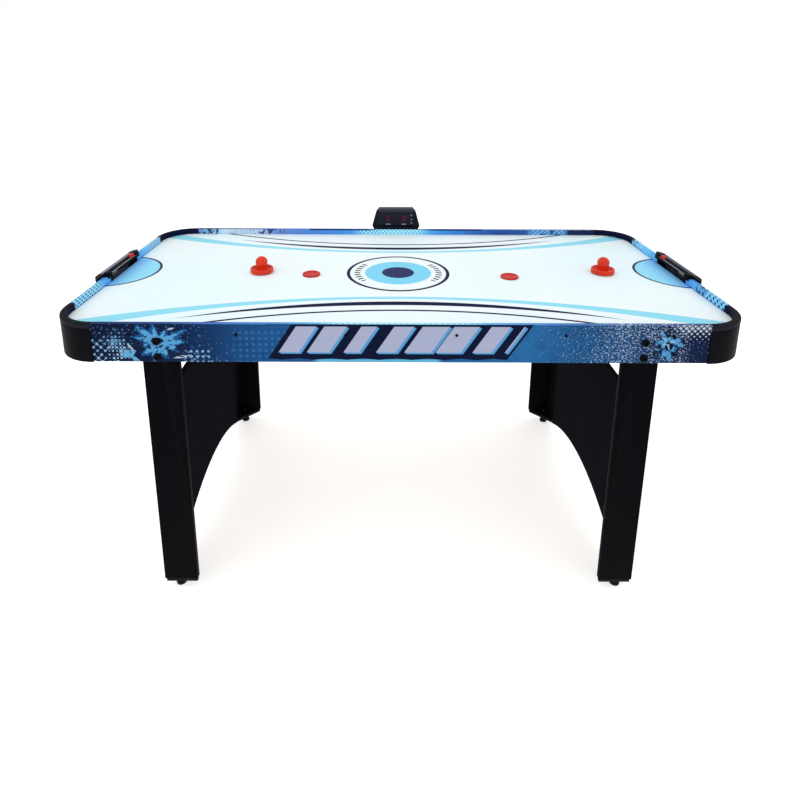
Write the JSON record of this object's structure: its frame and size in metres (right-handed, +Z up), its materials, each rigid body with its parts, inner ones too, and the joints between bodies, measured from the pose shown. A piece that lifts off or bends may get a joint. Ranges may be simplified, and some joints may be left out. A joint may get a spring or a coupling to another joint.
{
  "type": "air hockey table",
  "caption": "Home air hockey table on L-shaped legs, with arched end panels, goal pockets with slide scorers, a blower and an electronic scoreboard.",
  "frame": {"origin": "on the floor, under the middle of the whole object, from the front bolt heads to the scoreboard's bracket", "axes": "+X along the table, +Y from the front apron to the scoreboard side, +Z up"},
  "size_m": [1.866, 0.9632, 0.921],
  "materials": {
    "play_surface": "white laminate with blue printed rink marks, glossy",
    "printed_rail": "fibreboard wrapped in printed vinyl, blue abstract pattern, satin gloss",
    "black_moulding": "injection moulded, satin with a fine texture",
    "grey_moulding": "injection moulded, fine matt texture",
    "black_board": "fibreboard wrapped in black vinyl, satin",
    "raw_board": "bare fibreboard",
    "black_steel": "black paint on steel, satin",
    "motor_steel": "drawn steel can",
    "foot_rubber": "matt moulded rubber",
    "silver_strip": "silver strip with tick marks",
    "slider_red": "moulded, semi-gloss",
    "pusher_red": "moulded, glossy orange-red",
    "puck_red": "moulded, glossy red",
    "felt": "pressed felt",
    "dark_window": "smoked acrylic",
    "circuit_board": "circuit board with red digit blocks"
  },
  "bodies": {
    "table": {"playfield": "play_surface", "front_apron": "printed_rail", "back_apron": "printed_rail", "left_end_rail": "printed_rail", "right_end_rail": "printed_rail", "front_left_corner_cover": "black_moulding", "front_right_corner_cover": "black_moulding", "back_left_corner_cover": "black_moulding", "back_right_corner_cover": "black_moulding", "chamber_floor": "raw_board", "front_batten": "raw_board", "back_batten": "raw_board", "left_batten": "raw_board", "right_batten": "raw_board", "blower_housing": "black_moulding", "blower_motor": "motor_steel", "blower_grille": "black_moulding", "switch_frame": "black_moulding", "power_inlet": "black_moulding", "front_left_leg": "black_board", "front_right_leg": "black_board", "back_left_leg": "black_board", "back_right_leg": "black_board", "front_left_base_plate": "black_moulding", "front_right_base_plate": "black_moulding", "back_left_base_plate": "black_moulding", "back_right_base_plate": "black_moulding", "front_left_leg_bolts": "black_steel", "front_right_leg_bolts": "black_steel", "back_left_leg_bolts": "black_steel", "back_right_leg_bolts": "black_steel", "left_end_panel": "black_board", "right_end_panel": "black_board", "left_goal_pocket": "grey_moulding", "right_goal_pocket": "grey_moulding", "left_goal_bezel": "black_moulding", "right_goal_bezel": "black_moulding", "left_score_strip": "silver_strip", "right_score_strip": "silver_strip", "scoreboard_housing": "black_moulding", "scoreboard_window": "dark_window", "scoreboard_board": "circuit_board", "scoreboard_bracket": "black_steel"},
    "front_left_foot": {"front_left_leveler": "foot_rubber"},
    "front_right_foot": {"front_right_leveler": "foot_rubber"},
    "back_left_foot": {"back_left_leveler": "foot_rubber"},
    "back_right_foot": {"back_right_leveler": "foot_rubber"},
    "left_scorer": {"left_score_slider": "slider_red"},
    "right_scorer": {"right_score_slider": "slider_red"},
    "impeller": {"blower_impeller": "grey_moulding"},
    "rocker": {"switch_rocker": "black_moulding"},
    "mode_key": {"mode_button": "grey_moulding"},
    "reset_key": {"reset_button": "grey_moulding"},
    "left_mallet": {"left_pusher": "pusher_red", "left_pusher_felt": "felt"},
    "right_mallet": {"right_pusher": "pusher_red", "right_pusher_felt": "felt"},
    "left_disc": {"left_puck": "puck_red"},
    "right_disc": {"right_puck": "puck_red"}
  },
  "joints": [
    {"name": "front_left_foot_screw", "type": "slide", "parent": "table", "child": "front_left_foot", "axis": [0, 0, -1], "range_m": [0, 0.015]},
    {"name": "front_right_foot_screw", "type": "slide", "parent": "table", "child": "front_right_foot", "axis": [0, 0, -1], "range_m": [0, 0.015]},
    {"name": "back_left_foot_screw", "type": "slide", "parent": "table", "child": "back_left_foot", "axis": [0, 0, -1], "range_m": [0, 0.015]},
    {"name": "back_right_foot_screw", "type": "slide", "parent": "table", "child": "back_right_foot", "axis": [0, 0, -1], "range_m": [0, 0.015]},
    {"name": "left_scorer_slide", "type": "slide", "parent": "table", "child": "left_scorer", "axis": [0, -1, 0], "range_m": [0, 0.15]},
    {"name": "right_scorer_slide", "type": "slide", "parent": "table", "child": "right_scorer", "axis": [0, -1, 0], "range_m": [0, 0.15]},
    {"name": "impeller_spin", "type": "hinge", "parent": "table", "child": "impeller", "pos_m": [0, -0.01925, 0.7275], "axis": [0, 0, 1], "continuous": true},
    {"name": "rocker_tilt", "type": "hinge", "parent": "table", "child": "rocker", "pos_m": [0.49, 0.43775, 0.796], "axis": [-1, 0, 0], "range_deg": [0, 16]},
    {"name": "mode_press", "type": "slide", "parent": "table", "child": "mode_key", "axis": [0, 1, 0], "range_m": [0, 0.001], "stiffness_N_per_m": 800},
    {"name": "reset_press", "type": "slide", "parent": "table", "child": "reset_key", "axis": [0, 1, 0], "range_m": [0, 0.001], "stiffness_N_per_m": 800},
    {"name": "left_pusher_slide", "type": "slide", "parent": "table", "child": "left_mallet", "axis": [0, 1, 0], "range_m": [-0.394, 0.41]},
    {"name": "right_pusher_slide", "type": "slide", "parent": "table", "child": "right_mallet", "axis": [0, 1, 0], "range_m": [-0.399, 0.405]},
    {"name": "left_puck_slide", "type": "slide", "parent": "table", "child": "left_disc", "axis": [1, 0, 0], "range_m": [-0.095, 0.55]},
    {"name": "right_puck_slide", "type": "slide", "parent": "table", "child": "right_disc", "axis": [1, 0, 0], "range_m": [-0.57, 0.245]}
  ]
}
